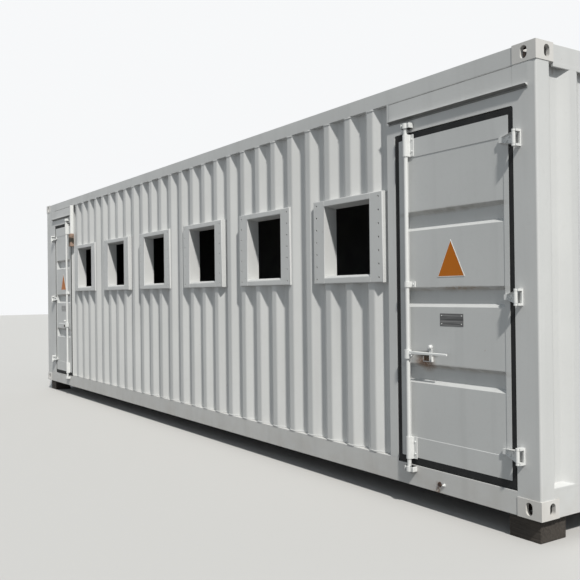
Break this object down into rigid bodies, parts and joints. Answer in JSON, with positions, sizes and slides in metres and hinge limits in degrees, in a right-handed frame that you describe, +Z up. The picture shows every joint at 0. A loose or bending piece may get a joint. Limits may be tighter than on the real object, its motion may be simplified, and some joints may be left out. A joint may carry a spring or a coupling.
{
  "type": "shipping container cabin",
  "caption": "Off-white corrugated steel container cabin with square window frames along one long side and a steel door with a lock rod at each end of it.",
  "frame": {"origin": "on the ground under the middle of the bounding box", "axes": "+X along the long front wall towards its near end, -Y out of the front wall that has the doors and windows, +Z up"},
  "size_m": [10.028, 2.492, 3.046],
  "materials": {
    "shell_paint": "satin",
    "door_paint": "satin",
    "frame_paint": "satin",
    "fitting_paint": "satin",
    "casting_paint": "matte",
    "underframe_paint": "matte",
    "support_timber": "matte",
    "deck_plywood": "matte",
    "lining_board": "matte",
    "seal_rubber": "matte",
    "sign_paint": "satin"
  },
  "bodies": {
    "cabin": {"support_blocks": "support_timber", "bottom_castings": "casting_paint", "top_castings": "casting_paint", "corner_posts": "shell_paint", "bottom_side_rails": "shell_paint", "bottom_end_rails": "shell_paint", "top_side_rails": "shell_paint", "top_end_rails": "shell_paint", "floor_cross_members": "underframe_paint", "floor_deck": "deck_plywood", "roof_sheet": "shell_paint", "ceiling_lining": "lining_board", "front_wall_bands": "shell_paint", "front_wall_piers": "shell_paint", "front_lining_bands": "lining_board", "front_lining_piers": "lining_board", "back_wall": "shell_paint", "back_lining": "lining_board", "end_walls": "shell_paint", "end_linings": "lining_board", "window_frame_1": "frame_paint", "window_frame_2": "frame_paint", "window_frame_3": "frame_paint", "window_frame_4": "frame_paint", "window_frame_5": "frame_paint", "window_frame_6": "frame_paint", "door_jambs": "shell_paint", "door_heads": "shell_paint", "rain_hoods": "shell_paint", "lock_keepers": "fitting_paint", "hinge_lugs": "fitting_paint"},
    "right_door": {"right_door_leaf": "door_paint", "right_door_seal": "seal_rubber", "right_hinge_blades": "fitting_paint", "right_rod_brackets": "fitting_paint", "right_sign_plate": "sign_paint"},
    "right_rod": {"right_lock_rod": "fitting_paint", "right_lever_handle": "fitting_paint"},
    "left_door": {"left_door_leaf": "door_paint", "left_door_seal": "seal_rubber", "left_hinge_blades": "fitting_paint", "left_rod_brackets": "fitting_paint", "left_sign_plate": "sign_paint"},
    "left_rod": {"left_lock_rod": "fitting_paint", "left_lever_handle": "fitting_paint"}
  },
  "joints": [
    {"name": "right_door_hinge", "type": "hinge", "parent": "cabin", "child": "right_door", "pos_m": [4.874, -1.234, 1.496], "axis": [0, 0, 1], "range_deg": [0, 165]},
    {"name": "right_rod_turn", "type": "hinge", "parent": "right_door", "child": "right_rod", "pos_m": [3.89, -1.219, 1.105], "axis": [0, 0, -1], "range_deg": [0, 100]},
    {"name": "left_door_hinge", "type": "hinge", "parent": "cabin", "child": "left_door", "pos_m": [-4.612, -1.234, 1.496], "axis": [0, 0, -1], "range_deg": [0, 165]},
    {"name": "left_rod_turn", "type": "hinge", "parent": "left_door", "child": "left_rod", "pos_m": [-3.89, -1.219, 1.105], "axis": [0, 0, 1], "range_deg": [0, 100]}
  ]
}
